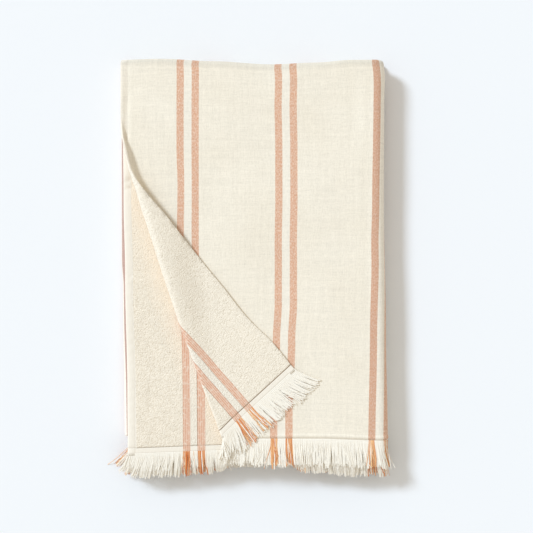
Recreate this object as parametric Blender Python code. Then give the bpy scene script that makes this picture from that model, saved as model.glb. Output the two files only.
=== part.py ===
"""A striped cotton bath towel, folded into twelve layers, with one corner of the top layer turned back.

The towel is one sheet. It is folded in half and in half again along its length, and that four-layer pack is
folded in thirds across its width. The flat cloth is measured by s, across its width from the first selvedge,
and by t, along its length from the end that lies on top. place(s, t) says where a point of it lies folded.
A comb of short yarns stands along each cut end. The fringes point to -Y and the folded end to +Y.
All lengths are in metres.
"""

import math
from collections import namedtuple

import bpy
from mathutils import Vector
from mathutils.geometry import delaunay_2d_cdt

Run = namedtuple("Run", "layer starts ends slack", defaults=[0.0])
Edge = namedtuple("Edge", "along offset")

# The cloth and how closely its layers lie
CLOTH_THICKNESS = 0.0021
LAYER_PITCH = 0.0029

# Where the folded layers end, seen from above
SELVEDGE_X = -0.1635
RIGHT_TURN_X = 0.1480
LEFT_TURN_X = -0.1538
LAST_SELVEDGE_X = 0.1567
BACK_TURN_Y = 0.2508
FRONT_TURN_Y = -0.2037
UPPER_END_Y = -0.2098
LOWER_END_Y = -0.2281

# The folds along the length, inside the pack, and the folds across the width, in layers from the middle.
# Slack is what a run of cloth is longer than it lies, as it isn't quite taut.
LENGTH_RUNS = [
    Run(layer=1.5, starts=UPPER_END_Y, ends=BACK_TURN_Y),
    Run(layer=-1.5, starts=BACK_TURN_Y, ends=FRONT_TURN_Y),
    Run(layer=-0.5, starts=FRONT_TURN_Y, ends=BACK_TURN_Y),
    Run(layer=0.5, starts=BACK_TURN_Y, ends=LOWER_END_Y),
]
WIDTH_RUNS = [
    Run(layer=4.0, starts=SELVEDGE_X, ends=RIGHT_TURN_X),
    Run(layer=0.0, starts=RIGHT_TURN_X, ends=LEFT_TURN_X, slack=0.0132),
    Run(layer=-4.0, starts=LEFT_TURN_X, ends=LAST_SELVEDGE_X),
]
OUTERMOST_LAYER = 1.5
LAYERS_BELOW_MIDDLE = 5.5
STACK_MIDDLE_Z = CLOTH_THICKNESS / 2 + LAYERS_BELOW_MIDDLE * LAYER_PITCH

# How far the real edges stray from straight ones
BACK_EDGE = [
    Edge(along=-0.164, offset=0.0),
    Edge(along=-0.115, offset=0.0012),
    Edge(along=-0.052, offset=-0.0018),
    Edge(along=0.020, offset=-0.0056),
    Edge(along=0.075, offset=-0.0034),
    Edge(along=0.119, offset=-0.0002),
    Edge(along=0.159, offset=0.0),
]
RIGHT_EDGE = [
    Edge(along=-0.210, offset=0.0045),
    Edge(along=-0.080, offset=0.0022),
    Edge(along=0.080, offset=-0.0004),
    Edge(along=0.200, offset=0.0),
    Edge(along=0.235, offset=0.0009),
    Edge(along=0.256, offset=-0.0007),
]
LEFT_FOLD_EDGE = [
    Edge(along=-0.210, offset=0.0044),
    Edge(along=-0.020, offset=0.0022),
    Edge(along=0.010, offset=0.0004),
    Edge(along=0.256, offset=0.0),
]
INNER_SELVEDGE = [
    Edge(along=-0.228, offset=0.0086),
    Edge(along=-0.150, offset=0.0083),
    Edge(along=-0.010, offset=0.0055),
    Edge(along=0.085, offset=0.0035),
    Edge(along=0.256, offset=0.0015),
]
BACK_REACH = 0.130

# The same for the two cut ends, along the top third of the width, which counts as 1
UPPER_END_EDGE = [
    Edge(along=0.0, offset=0.0),
    Edge(along=0.8, offset=0.0),
    Edge(along=1.0, offset=-0.0024),
]
LOWER_END_EDGE = [
    Edge(along=0.0, offset=0.0),
    Edge(along=0.4, offset=0.0049),
    Edge(along=1.0, offset=0.0030),
]
END_REACH = 0.090

# The corner turned back: its crease from the selvedge down to the upper end, how far that strays from a
# straight line, and the roll of the cloth there. The roll tapers, and the turned cloth swings back a little.
CREASE_START = Vector((-0.1643, 0.1578))
CREASE_ANGLE = math.radians(-71.18)
CREASE_EDGE = [
    Edge(along=0.000, offset=0.0037),
    Edge(along=0.045, offset=0.0004),
    Edge(along=0.100, offset=-0.0010),
    Edge(along=0.200, offset=-0.0023),
    Edge(along=0.235, offset=-0.0027),
    Edge(along=0.300, offset=-0.0010),
    Edge(along=0.375, offset=0.0011),
    Edge(along=0.420, offset=0.0011),
]
ROLL_WIDEST = 0.0068
ROLL_TIGHTEST = 0.0015
ROLL_TAPER = 0.0300
ROLL_TAPER_END = 0.372
SETTLE_RADII = 4.5
SETTLE_MORE = 0.010
SWING = 0.049
SWING_STARTS = 0.020
SWING_REACH = 0.150

# How far that corner of the flat top layer is pulled out to the left, by t, and drawn up to the back, by s
PULLED_OUT = [
    Edge(along=0.000, offset=-0.0015),
    Edge(along=0.040, offset=0.0003),
    Edge(along=0.080, offset=-0.0019),
    Edge(along=0.130, offset=-0.0002),
    Edge(along=0.190, offset=-0.0007),
    Edge(along=0.250, offset=-0.0015),
    Edge(along=0.310, offset=-0.0053),
    Edge(along=0.360, offset=0.0000),
]
DRAWN_UP = [
    Edge(along=0.000, offset=0.0085),
    Edge(along=0.100, offset=0.0053),
    Edge(along=0.160, offset=0.0000),
]
PULLED_ACROSS = 0.100
DRAWN_ALONG = 0.240

# The fringe combs
FRINGE_GAP = 0.0003
FRINGE_THICKNESS = 0.0014
FRINGE_HEADING = 0.0030
FRINGE_LENGTH = 0.0300
YARN_PITCH = 0.0110
YARN_WIDTH = 0.0066
SAG_STARTS_Y = -0.2300
SAG_AT_TIP = 0.0030
SAG_REACH = 0.0300

# How finely the flat cloth is divided
TURN_STEPS_ACROSS = 8
TURN_STEPS_ALONG = 4
RUN_STEP_ACROSS = 0.062
RUN_STEP_ALONG = 0.062
CREASE_STEPS = 6
SETTLE_STEPS = 3
ALONG_CREASE_STEP = 0.030
CLEAR_OF_CREASE = 0.012
CORNER_END_STEPS = 9
EDGE_SLIVER = 0.00001

CREASE_DOWN = Vector((math.cos(CREASE_ANGLE), math.sin(CREASE_ANGLE)))
CREASE_RIGHT = Vector((-CREASE_DOWN.y, CREASE_DOWN.x))
UP = Vector((0.0, 0.0, 1.0))

CLOTH_COLOUR = (0.89, 0.83, 0.71)
UPPER_FRINGE_COLOUR = (0.86, 0.79, 0.66)
LOWER_FRINGE_COLOUR = (0.82, 0.74, 0.61)


def smooth_step(value):
    """0 below 0, 1 above 1, and an even curve between."""
    value = min(max(value, 0.0), 1.0)
    return value * value * (3.0 - 2.0 * value)


def read_edge(rows, along, soften=smooth_step):
    """The offset of an edge table at a place along it, with soft turns at its rows unless told otherwise."""
    if along <= rows[0].along:
        return rows[0].offset
    for before, after in zip(rows, rows[1:]):
        if along <= after.along:
            part = soften((along - before.along) / (after.along - before.along))
            return before.offset + (after.offset - before.offset) * part
    return rows[-1].offset


def straight(value):
    """The value itself, for an edge that runs straight from row to row."""
    return value


class Route:
    """Straight runs joined by half turns, read by the distance along the flat cloth."""

    def __init__(self, runs, extra_radius=0.0):
        self.runs = runs
        self.starts = [0.0]
        for run, following in zip(runs, runs[1:]):
            self.starts.append(self.starts[-1] + abs(run.ends - run.starts) + run.slack)
            radius = abs(run.layer - following.layer) * LAYER_PITCH / 2 + extra_radius
            self.starts.append(self.starts[-1] + math.pi * radius)
        self.length = self.starts[-1] + abs(runs[-1].ends - runs[-1].starts) + runs[-1].slack

    def piece(self, flat):
        """The number of the piece at a flat distance: even ones are runs, odd ones are turns."""
        reached = [number for number, start in enumerate(self.starts) if flat >= start - 1e-9]
        return reached[-1] if reached else 0

    def at(self, flat, piece):
        """Place along, height across, and the heading in those two directions."""
        run = self.runs[piece // 2]
        direction = math.copysign(1.0, run.ends - run.starts)
        if piece % 2 == 0:
            span = run.ends - run.starts
            along = run.starts + span * (flat - self.starts[piece]) / (abs(span) + run.slack)
            return along, run.layer * LAYER_PITCH, direction, 0.0
        following = self.runs[piece // 2 + 1]
        angle = math.pi * (flat - self.starts[piece]) / (self.starts[piece + 1] - self.starts[piece])
        middle = (run.layer + following.layer) * LAYER_PITCH / 2
        half = (run.layer - following.layer) * LAYER_PITCH / 2
        along = run.ends + direction * abs(half) * math.sin(angle)
        across = middle + half * math.cos(angle)
        return along, across, direction * math.cos(angle), -math.copysign(math.sin(angle), half)

    def steps(self, turn_steps, run_step):
        """Flat distances that divide the runs into even steps and the turns into even angles."""
        marks = []
        ends = self.starts[1:] + [self.length]
        for piece, (start, end) in enumerate(zip(self.starts, ends)):
            count = turn_steps if piece % 2 else round((end - start) / run_step)
            marks.extend(start + (end - start) * step / count for step in range(count))
        return marks + [self.length]

    def turn_marks(self, turn_steps):
        """The flat distances at which the cloth starts, goes on and stops bending."""
        marks = []
        for piece in range(1, len(self.starts), 2):
            start, end = self.starts[piece], self.starts[piece + 1]
            marks.extend(start + (end - start) * step / turn_steps for step in range(turn_steps + 1))
        return marks


WIDTH = Route(WIDTH_RUNS, extra_radius=OUTERMOST_LAYER * LAYER_PITCH)
LENGTH = Route(LENGTH_RUNS)


def stray(panel, layer, run, x, y):
    """How far a point of the folded cloth lies from where straight edges would put it."""
    along_top = 1.0 if panel else (x - SELVEDGE_X) / (RIGHT_TURN_X - SELVEDGE_X)
    over = min(max((x - LEFT_TURN_X) / (RIGHT_TURN_X - LEFT_TURN_X), 0.0), 1.0)
    left = read_edge(LEFT_FOLD_EDGE, y)
    if panel < 2:
        under_top = min(max(OUTERMOST_LAYER - layer / LAYER_PITCH, 0.0), 1.0)
        left = read_edge(INNER_SELVEDGE, y) * under_top
    across = left * (1.0 - over) + read_edge(RIGHT_EDGE, y) * over
    along = read_edge(BACK_EDGE, x) * smooth_step(1.0 - (BACK_TURN_Y - y) / BACK_REACH)
    if run == 0:
        near_end = smooth_step(1.0 - (y - UPPER_END_Y) / END_REACH)
        along += read_edge(UPPER_END_EDGE, along_top, straight) * near_end
    if run == len(LENGTH.starts) - 1:
        near_end = smooth_step(1.0 - (y - LOWER_END_Y) / END_REACH)
        along += read_edge(LOWER_END_EDGE, along_top, straight) * near_end
    return across, along


def roll_radius(down):
    """The radius of the turned corner's roll at a distance down its crease."""
    return min(max(ROLL_TAPER * (ROLL_TAPER_END - down), ROLL_TIGHTEST), ROLL_WIDEST)


def pulled(s, t):
    """How far the cloth of the top layer is pulled across and drawn along near its turned corner."""
    out = read_edge(PULLED_OUT, t) * smooth_step(1.0 - s / PULLED_ACROSS)
    up = read_edge(DRAWN_UP, s, straight) * smooth_step(1.0 - t / DRAWN_ALONG)
    return -out, up


def turn_corner(point):
    """Rolls a point of the top layer over the crease: its new place, rise and smooth side's normal."""
    from_start = point - CREASE_START
    down = from_start.dot(CREASE_DOWN)
    edge = read_edge(CREASE_EDGE, down)
    radius = roll_radius(down)
    flat = radius + edge - from_start.dot(CREASE_RIGHT)
    if flat <= 0.0:
        return point, 0.0, UP
    angle = min(flat / radius, math.pi)
    past = flat - angle * radius
    settle = SETTLE_RADII * radius + SETTLE_MORE
    fall = 2.0 * radius - LAYER_PITCH
    rise = radius * (1.0 - math.cos(angle)) - fall * smooth_step(past / settle)
    part = min(past / settle, 1.0)
    slope = -fall / settle * 6.0 * part * (1.0 - part)
    right = radius * (1.0 - math.sin(angle)) + past + edge
    swing = SWING * smooth_step((down - SWING_STARTS) / SWING_REACH)
    plan = CREASE_START + CREASE_DOWN * (down - swing * past) + CREASE_RIGHT * right
    normal = UP * math.cos(angle) + CREASE_RIGHT.to_3d() * (math.sin(angle) + slope)
    return plan, rise, normal.normalized()


def place(s, t):
    """The folded place of a flat point in the middle of the cloth, and the normal of its smooth side."""
    panel = WIDTH.piece(s)
    run = LENGTH.piece(t)
    x, z, heading_x, heading_z = WIDTH.at(s, panel)
    y, layer, heading_y, heading_layer = LENGTH.at(t, run)
    across, along = stray(panel, layer, run, x, y)
    point = Vector((x + across - layer * heading_z, y + along, STACK_MIDDLE_Z + z + layer * heading_x))
    normal = Vector((-heading_y * heading_z, -heading_layer, heading_y * heading_x))
    if panel == 0 and run == 0:
        plan, rise, normal = turn_corner(point.xy + Vector(pulled(s, t)))
        point = Vector((plan.x, plan.y, point.z + rise))
    sag = max(SAG_STARTS_Y - point.y, 0.0) / SAG_REACH
    point.z -= SAG_AT_TIP * sag * sag
    return point, normal


def flat_of_top(point):
    """The flat point that lies at a place of the top layer before its corner is turned."""
    s, t = point.x - SELVEDGE_X, point.y - UPPER_END_Y
    for _ in range(4):
        x, y = SELVEDGE_X + s, UPPER_END_Y + t
        across, along = stray(0, OUTERMOST_LAYER * LAYER_PITCH, 0, x, y)
        left, up = pulled(s, t)
        s, t = s + point.x - x - across - left, t + point.y - y - along - up
    return Vector((s, t))


def clipped(start, end, low, high):
    """The part of a straight line inside a box of the flat cloth, or None."""
    first, last = 0.0, 1.0
    for axis in range(2):
        step = end[axis] - start[axis]
        if abs(step) < 1e-12:
            if not low[axis] <= start[axis] <= high[axis]:
                return None
            continue
        crossings = sorted(((low[axis] - start[axis]) / step, (high[axis] - start[axis]) / step))
        first, last = max(first, crossings[0]), min(last, crossings[1])
    if last - first < 1e-6:
        return None
    return start.lerp(end, first), start.lerp(end, last)


def crease_lines(low, high):
    """Flat lines that run with the crease, through its roll and the slope where the corner settles."""
    count = math.ceil((CREASE_START.y - UPPER_END_Y + 0.16) / ALONG_CREASE_STEP)
    downs = [-0.060 + ALONG_CREASE_STEP * number for number in range(count + 2)]
    lines = []
    for number in range(CREASE_STEPS + SETTLE_STEPS + 1):
        flats = []
        for down in downs:
            radius = roll_radius(down)
            if number <= CREASE_STEPS:
                flat = radius * math.pi * number / CREASE_STEPS
            else:
                settle = SETTLE_RADII * radius + SETTLE_MORE
                flat = radius * math.pi + settle * (number - CREASE_STEPS) / SETTLE_STEPS
            right = radius + read_edge(CREASE_EDGE, down) - flat
            plan = CREASE_START + CREASE_DOWN * down + CREASE_RIGHT * right
            flats.append(flat_of_top(plan))
        parts = (clipped(start, end, low, high) for start, end in zip(flats, flats[1:]))
        lines.extend(part for part in parts if part)
    return lines


def near_crease(s, t):
    """True where the lines along the crease already divide the cloth."""
    if WIDTH.piece(s) != 0 or LENGTH.piece(t) != 0:
        return False
    across, along = stray(0, OUTERMOST_LAYER * LAYER_PITCH, 0, SELVEDGE_X + s, UPPER_END_Y + t)
    plan = Vector((SELVEDGE_X + s + across, UPPER_END_Y + t + along)) + Vector(pulled(s, t)) - CREASE_START
    down = plan.dot(CREASE_DOWN)
    radius = roll_radius(down)
    flat = radius + read_edge(CREASE_EDGE, down) - plan.dot(CREASE_RIGHT)
    last = radius * math.pi + SETTLE_RADII * radius + SETTLE_MORE
    return -CLEAR_OF_CREASE < flat < last + CLEAR_OF_CREASE


def divide(points, lines, keep):
    """Triangles of a flat shape that has the given points and lines. keep says which places belong to it."""
    corners = [Vector(point) for point in points]
    edges = []
    for start, end in lines:
        edges.append((len(corners), len(corners) + 1))
        corners.extend((Vector(start), Vector(end)))
    flat, _, faces, _, _, _ = delaunay_2d_cdt(corners, edges, [], 0, 1e-6)
    kept = []
    for face in faces:
        middle = sum((flat[corner] for corner in face), Vector((0.0, 0.0))) / len(face)
        if keep(middle.x, middle.y):
            kept.append(face)
    return flat, kept


def thickened(name, flat, faces, thickness, material):
    """Folds a divided flat shape and gives it its thickness, with walls along its outline."""
    used = sorted({corner for face in faces for corner in face})
    index = {corner: number for number, corner in enumerate(used)}
    placed = [place(flat[corner].x, flat[corner].y) for corner in used]
    smooth = [point + normal * thickness / 2 for point, normal in placed]
    looped = [point - normal * thickness / 2 for point, normal in placed]
    count = len(used)
    triangles = []
    sides = {}
    for face in faces:
        a, b, c = (index[corner] for corner in face)
        triangles.append((a, b, c))
        triangles.append((c + count, b + count, a + count))
        for start, end in ((a, b), (b, c), (c, a)):
            sides[(start, end)] = True
    for start, end in sides:
        if (end, start) not in sides:
            triangles.append((start, start + count, end + count))
            triangles.append((start, end + count, end))
    mesh = bpy.data.meshes.new(name)
    mesh.from_pydata(smooth + looped, [], triangles)
    mesh.materials.append(material)
    mesh.update()
    node = bpy.data.objects.new(name, mesh)
    bpy.context.scene.collection.objects.link(node)
    return node


def cotton(name, colour):
    """A rough cotton finish of one colour."""
    material = bpy.data.materials.new(name)
    material.use_nodes = True
    shader = material.node_tree.nodes["Principled BSDF"]
    shader.inputs["Base Color"].default_value = (*colour, 1.0)
    shader.inputs["Roughness"].default_value = 0.92
    shader.inputs["Metallic"].default_value = 0.0
    material.diffuse_color = (*colour, 1.0)
    return material


def make_cloth():
    """The whole sheet, folded: a grid that follows every fold, with finer lines along the turned corner."""
    widths = WIDTH.steps(TURN_STEPS_ACROSS, RUN_STEP_ACROSS)
    lengths = LENGTH.steps(TURN_STEPS_ALONG, RUN_STEP_ALONG)
    points = [(s, t) for s in widths for t in lengths if s in (0.0, WIDTH.length) or not near_crease(s, t)]
    corner_end = (CREASE_START.y - UPPER_END_Y) / math.tan(-CREASE_ANGLE)
    points += [(corner_end * step / CORNER_END_STEPS, 0.0) for step in range(1, CORNER_END_STEPS)]
    lines = [((s, 0.0), (s, LENGTH.length)) for s in (0.0, WIDTH.length)]
    lines += [((0.0, t), (WIDTH.length, t)) for t in (0.0, LENGTH.length)]
    lines += [((s, 0.0), (s, LENGTH.length)) for s in WIDTH.turn_marks(TURN_STEPS_ACROSS)]
    lines += [((0.0, t), (WIDTH.length, t)) for t in LENGTH.turn_marks(TURN_STEPS_ALONG)]
    lines += crease_lines((0.0, 0.0), (WIDTH.starts[1], LENGTH.starts[1]))

    def in_cloth(s, t):
        edge_distance = min(s, WIDTH.length - s, t, LENGTH.length - t)
        return edge_distance > EDGE_SLIVER

    flat, faces = divide(points, lines, in_cloth)
    return thickened("towel", flat, faces, CLOTH_THICKNESS, cotton("cream_cotton", CLOTH_COLOUR))


def make_fringe(name, end_t, outward, colour):
    """A comb of yarns along one end: a narrow heading with a tooth for each bunch of yarns."""
    heading_from = end_t + outward * FRINGE_GAP
    heading_to = heading_from + outward * FRINGE_HEADING
    tip = heading_from + outward * FRINGE_LENGTH
    count = math.floor((WIDTH.length - YARN_WIDTH) / YARN_PITCH) + 1
    margin = (WIDTH.length - (count - 1) * YARN_PITCH - YARN_WIDTH) / 2
    lefts = [margin + YARN_PITCH * number for number in range(count)]
    teeth = [(left, left + YARN_WIDTH) for left in lefts]

    def in_comb(s, t):
        out = outward * (t - heading_from)
        if not EDGE_SLIVER < out < FRINGE_LENGTH - EDGE_SLIVER:
            return False
        return out < FRINGE_HEADING or any(left < s < right for left, right in teeth)

    lines = [((0.0, t), (WIDTH.length, t)) for t in (heading_from, heading_to)]
    lines += [((s, heading_from), (s, heading_to)) for s in (0.0, WIDTH.length)]
    lines += [((s, heading_from), (s, heading_to)) for s in WIDTH.turn_marks(TURN_STEPS_ACROSS)]
    for left, right in teeth:
        lines += [((left, heading_from), (left, tip)), ((right, heading_from), (right, tip))]
        lines.append(((left, tip), (right, tip)))
    if outward < 0:
        lines += crease_lines((0.0, tip), (WIDTH.starts[1], heading_from))
    flat, faces = divide([], lines, in_comb)
    return thickened(name, flat, faces, FRINGE_THICKNESS, cotton(name + "_yarn", colour))


for old in list(bpy.data.objects):
    bpy.data.objects.remove(old, do_unlink=True)

make_cloth()
make_fringe("fringe_upper", 0.0, -1.0, UPPER_FRINGE_COLOUR)
make_fringe("fringe_lower", LENGTH.length, 1.0, LOWER_FRINGE_COLOUR)
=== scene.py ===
# %% [markdown]
# # A folded hammam towel
# The towel is one striped cotton sheet with a smooth side, a looped side, hemmed sides and fringed ends.
# It lies folded on a table, in quarters along its length and in thirds across its width, and one corner
# of the top layer is turned back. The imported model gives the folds. This script weaves the cloth on them.

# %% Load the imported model
import math
from collections import namedtuple

import bpy
import numpy as np
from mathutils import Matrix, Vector
from mathutils.geometry import delaunay_2d_cdt


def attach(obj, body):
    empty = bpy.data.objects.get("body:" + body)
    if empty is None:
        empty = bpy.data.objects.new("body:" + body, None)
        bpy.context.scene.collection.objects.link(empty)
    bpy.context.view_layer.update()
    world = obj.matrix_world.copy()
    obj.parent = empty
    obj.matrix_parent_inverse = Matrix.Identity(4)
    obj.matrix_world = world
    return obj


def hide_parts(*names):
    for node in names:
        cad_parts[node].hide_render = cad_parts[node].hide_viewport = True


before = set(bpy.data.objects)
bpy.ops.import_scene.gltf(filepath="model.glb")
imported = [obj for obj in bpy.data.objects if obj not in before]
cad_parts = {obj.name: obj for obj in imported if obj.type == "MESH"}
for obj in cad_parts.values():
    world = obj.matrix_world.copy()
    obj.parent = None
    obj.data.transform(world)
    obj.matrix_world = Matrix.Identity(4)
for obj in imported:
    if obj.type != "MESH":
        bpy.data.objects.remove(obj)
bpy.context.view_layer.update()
print("nodes:", sorted(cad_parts))

# %% [markdown]
# ## Where the cloth goes
# A flat point of the cloth has two measures: s, across from the first selvedge, and t, along from the end
# that lies on top. A folded towel could be draped by simulation, but twelve neat layers would drift apart.
# So a route gives the place of every s and every t: straight runs joined by half turns. The sizes repeat
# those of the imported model, apart from a slightly longer slope under the turned corner, and numpy reads
# the route for all the points of the cloth at once.

# %% Runs and half turns
Run = namedtuple("Run", "layer starts ends slack", defaults=[0.0])

LAYER_PITCH = 0.0029
CLOTH_THICKNESS = 0.0021
OUTERMOST_LAYER = 1.5
LOWEST_LAYER = -5.5
STACK_MIDDLE_Z = CLOTH_THICKNESS / 2 - LOWEST_LAYER * LAYER_PITCH


class Route:
    """Straight runs joined by half turns, read by the distance along the flat cloth."""

    def __init__(self, runs, extra_radius=0.0):
        self.layers = np.array([run.layer * LAYER_PITCH for run in runs])
        self.begins = np.array([run.starts for run in runs])
        self.spans = np.array([run.ends - run.starts for run in runs])
        straight = np.abs(self.spans) + [run.slack for run in runs]
        turned = np.pi * (np.abs(np.diff(self.layers)) / 2 + extra_radius)
        lengths = [straight[0]]
        for turn, run in zip(turned, straight[1:]):
            lengths += [turn, run]
        self.marks = np.concatenate([[0.0], np.cumsum(lengths)])
        self.length = self.marks[-1]

    def piece(self, flat):
        """The number of the piece at a flat distance: even ones are runs, odd ones are turns."""
        return np.clip(np.searchsorted(self.marks, flat + 1e-9, side="right") - 1, 0, len(self.marks) - 2)

    def at(self, flat):
        """The piece, the place along, the height across, and the heading in those two directions."""
        piece = self.piece(flat)
        run = piece // 2
        following = np.minimum(run + 1, len(self.layers) - 1)
        part = (flat - self.marks[piece]) / (self.marks[piece + 1] - self.marks[piece])
        turning = piece % 2 == 1
        bend = np.where(turning, np.pi * part, 0.0)
        direction = np.sign(self.spans[run])
        half = (self.layers[run] - self.layers[following]) / 2
        reached = np.where(turning, 1.0, part)
        along = self.begins[run] + self.spans[run] * reached + direction * np.abs(half) * np.sin(bend)
        across = self.layers[run] - half * (1.0 - np.cos(bend))
        return piece, along, across, direction * np.cos(bend), -np.sign(half) * np.sin(bend)


SELVEDGE_X, RIGHT_TURN_X, LEFT_TURN_X, LAST_SELVEDGE_X = -0.1635, 0.1480, -0.1538, 0.1567
UPPER_END_Y, LOWER_END_Y, BACK_TURN_Y, FRONT_TURN_Y = -0.2098, -0.2281, 0.2508, -0.2037
WIDTH_RUNS = [
    Run(4.0, SELVEDGE_X, RIGHT_TURN_X),
    Run(0.0, RIGHT_TURN_X, LEFT_TURN_X, slack=0.0132),
    Run(-4.0, LEFT_TURN_X, LAST_SELVEDGE_X),
]
LENGTH_RUNS = [
    Run(1.5, UPPER_END_Y, BACK_TURN_Y),
    Run(-1.5, BACK_TURN_Y, FRONT_TURN_Y),
    Run(-0.5, FRONT_TURN_Y, BACK_TURN_Y),
    Run(0.5, BACK_TURN_Y, LOWER_END_Y),
]
WIDTH = Route(WIDTH_RUNS, extra_radius=OUTERMOST_LAYER * LAYER_PITCH)
LENGTH = Route(LENGTH_RUNS)
TOP_PANEL, TOP_RUN, SECOND_RUN = 0, 0, 6
print(f"flat cloth {WIDTH.length * 1000:.1f} x {LENGTH.length * 1000:.1f} mm")

# %% [markdown]
# The real edges aren't straight. Short tables hold how far each one strays: every pair is a place along
# the edge and the offset there, and a soft step between the pairs keeps the cloth free of kinks. Both are
# in metres, but along the two cut ends the places run from 0 to 1 and the steps are straight. The whole
# pack also swells a little, which a few long waves of different lengths and directions give. They grow
# with height, so the lowest layer stays on the table.

# %% How far the edges stray
BACK_EDGE = [
    (-0.164, 0), (-0.115, 0.0012), (-0.052, -0.0018), (0.02, -0.0056), (0.075, -0.0034),
    (0.119, -0.0002), (0.159, 0),
]
RIGHT_EDGE = [
    (-0.21, 0.0045), (-0.08, 0.0022), (0.08, -0.0004), (0.2, 0), (0.235, 0.0009),
    (0.256, -0.0007),
]
LEFT_FOLD_EDGE = [(-0.21, 0.0044), (-0.02, 0.0022), (0.01, 0.0004), (0.256, 0)]
INNER_SELVEDGE = [(-0.228, 0.0086), (-0.15, 0.0083), (-0.01, 0.0055), (0.085, 0.0035), (0.256, 0.0015)]
UPPER_END_EDGE = [(0, 0), (0.8, 0), (1, -0.0024)]
LOWER_END_EDGE = [(0, 0), (0.4, 0.0049), (1, 0.003)]
BACK_REACH, END_REACH = 0.130, 0.090


def straight(value):
    """The value held between 0 and 1."""
    return np.clip(value, 0.0, 1.0)


def soft(value):
    """0 below 0, 1 above 1, and an even curve between."""
    value = straight(value)
    return value * value * (3.0 - 2.0 * value)


def read(rows, along, between=soft):
    """The offset that a table gives at each place along it."""
    places, offsets = np.array(rows).T
    row = np.clip(np.searchsorted(places, along, side="right") - 1, 0, len(places) - 2)
    part = between((along - places[row]) / (places[row + 1] - places[row]))
    return offsets[row] + (offsets[row + 1] - offsets[row]) * part


def stray(panel, layer, run, x, y):
    """How far points of the folded cloth lie from where straight edges would put them."""
    along_top = np.where(panel > 0, 1.0, (x - SELVEDGE_X) / (RIGHT_TURN_X - SELVEDGE_X))
    over = straight((x - LEFT_TURN_X) / (RIGHT_TURN_X - LEFT_TURN_X))
    under_top = straight(OUTERMOST_LAYER - layer / LAYER_PITCH)
    left = np.where(panel < 2, read(INNER_SELVEDGE, y) * under_top, read(LEFT_FOLD_EDGE, y))
    across = left * (1.0 - over) + read(RIGHT_EDGE, y) * over
    along = read(BACK_EDGE, x) * soft(1.0 - (BACK_TURN_Y - y) / BACK_REACH)
    near_upper = soft(1.0 - (y - UPPER_END_Y) / END_REACH) * (run == TOP_RUN)
    near_lower = soft(1.0 - (y - LOWER_END_Y) / END_REACH) * (run == SECOND_RUN)
    along = along + read(UPPER_END_EDGE, along_top, straight) * near_upper
    along = along + read(LOWER_END_EDGE, along_top, straight) * near_lower
    return across, along


print(f"back edge strays by {np.ptp(np.array(BACK_EDGE)[:, 1]) * 1000:.1f} mm")

# %% Slow swells of the pack: length, degrees, start, height
SWELLS = [
    (0.23, 25, 0.1, 0.00055),
    (0.145, -62, 0.55, 0.00032),
    (0.083, 8, 0.3, 0.00018),
    (0.061, 80, 0.8, 0.00012),
]


def swell(x, y):
    """How far the top of the pack rises at a place."""
    total = 0.0
    for length, degrees, start, height in SWELLS:
        turned = math.radians(degrees)
        along = x * math.cos(turned) + y * math.sin(turned)
        total = total + height * np.sin(2 * np.pi * (along / length + start))
    return total


print(f"swells reach {sum(height for *_, height in SWELLS) * 1000:.1f} mm at most")

# %% [markdown]
# ## The corner turned back
# The corner rolls over a slanting crease. At the selvedge the roll is fat, because the cloth there only
# leans over, and towards the fringe it is pressed tight. A cone would do for one crease in thin air, but
# this cloth also has to come down on the layer under it. So each point goes round a roll whose radius
# narrows down the crease, and then down a soft slope until it rests one layer higher.

# %% Turn the corner
CREASE_START = np.array([-0.1643, 0.1578])
CREASE_ANGLE = math.radians(-71.18)
CREASE_DOWN = np.array([math.cos(CREASE_ANGLE), math.sin(CREASE_ANGLE)])
CREASE_RIGHT = np.array([-CREASE_DOWN[1], CREASE_DOWN[0]])
CREASE_EDGE = [
    (0, 0.0037), (0.045, 0.0004), (0.1, -0.001), (0.2, -0.0023), (0.235, -0.0027),
    (0.3, -0.001), (0.375, 0.0011), (0.42, 0.0011),
]
ROLL_WIDEST, ROLL_TIGHTEST, ROLL_TAPER, ROLL_TAPER_END = 0.0068, 0.0015, 0.0300, 0.372
SETTLE_RADII, SETTLE_MORE = 5.6, 0.011
SWING, SWING_STARTS, SWING_REACH = 0.049, 0.020, 0.150
PULLED_OUT = [
    (0, -0.0015), (0.04, 0.0003), (0.08, -0.0019), (0.13, -0.0002), (0.19, -0.0007),
    (0.25, -0.0015), (0.31, -0.0053), (0.36, 0),
]
DRAWN_UP = [(0, 0.0085), (0.1, 0.0053), (0.16, 0)]
PULLED_ACROSS, DRAWN_ALONG = 0.100, 0.240
DROOP_Y, DROOP_REACH, DROOP = -0.2300, 0.0300, 0.0030


def pulled(s, t):
    """How far the top layer is pulled to the left and drawn up near its corner."""
    out = read(PULLED_OUT, t) * soft(1.0 - s / PULLED_ACROSS)
    return -out, read(DRAWN_UP, s, straight) * soft(1.0 - t / DRAWN_ALONG)


def roll_radius(down):
    """The radius of the roll at a distance down the crease."""
    return np.clip(ROLL_TAPER * (ROLL_TAPER_END - down), ROLL_TIGHTEST, ROLL_WIDEST)


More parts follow.
